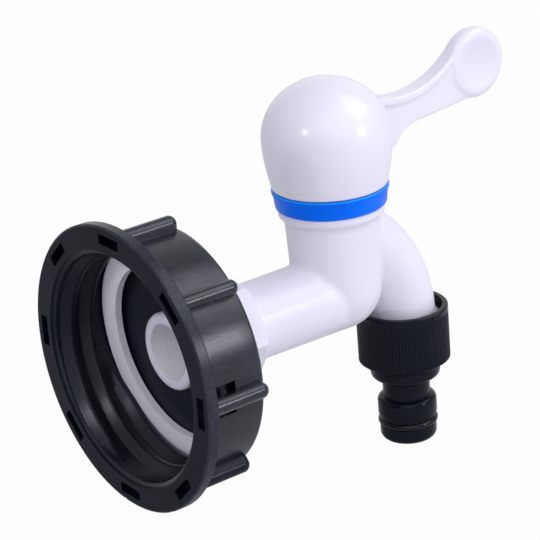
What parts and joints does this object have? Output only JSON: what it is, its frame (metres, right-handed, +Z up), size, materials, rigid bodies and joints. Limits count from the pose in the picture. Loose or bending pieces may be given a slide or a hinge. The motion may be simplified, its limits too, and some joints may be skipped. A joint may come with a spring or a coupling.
{
  "type": "tank tap adapter",
  "caption": "Coarse-thread tank cap carrying a white quarter-turn lever tap with a downturned spout and a click-on hose nozzle.",
  "frame": {"origin": "middle of the tank thread's two full crests, on the thread's axis", "axes": "+Y out of the tank nut's mouth towards the tank, +Z up through the tap's barrel and knob, +X to the right of someone who stands at the spout and faces the tank, and -Y towards that person"},
  "size_m": [0.076, 0.1335, 0.1122],
  "materials": {
    "black_nylon": "satin moulded",
    "white_gasket": "soft matt",
    "white_abs": "glossy moulded",
    "blue_plastic": "glossy moulded",
    "black_rubber": "smooth",
    "ceramic": "lapped ceramic",
    "headwork_plastic": "moulded",
    "spring_steel": "stamped",
    "slip_plastic": "smooth"
  },
  "bodies": {
    "tap": {"tank_nut": "black_nylon", "nut_gasket": "white_gasket", "inlet_washer": "black_rubber", "tap_body": "white_abs", "seat_washer": "black_rubber", "fixed_disc": "ceramic", "cartridge": "headwork_plastic", "cartridge_oring": "black_rubber", "blue_ring": "blue_plastic", "connector_washer": "black_rubber", "hose_connector": "black_nylon", "nozzle_oring": "black_rubber"},
    "turning_handle": {"handle": "white_abs", "spindle": "slip_plastic", "moving_disc": "ceramic", "thrust_washer": "slip_plastic", "spindle_oring_lower": "black_rubber", "spindle_oring_upper": "black_rubber", "spindle_clip": "spring_steel"}
  },
  "joints": [
    {"name": "handle_turn", "type": "hinge", "parent": "tap", "child": "turning_handle", "pos_m": [0, -0.0641, 0.025], "axis": [0, 0, 1], "range_deg": [0, 90]}
  ]
}
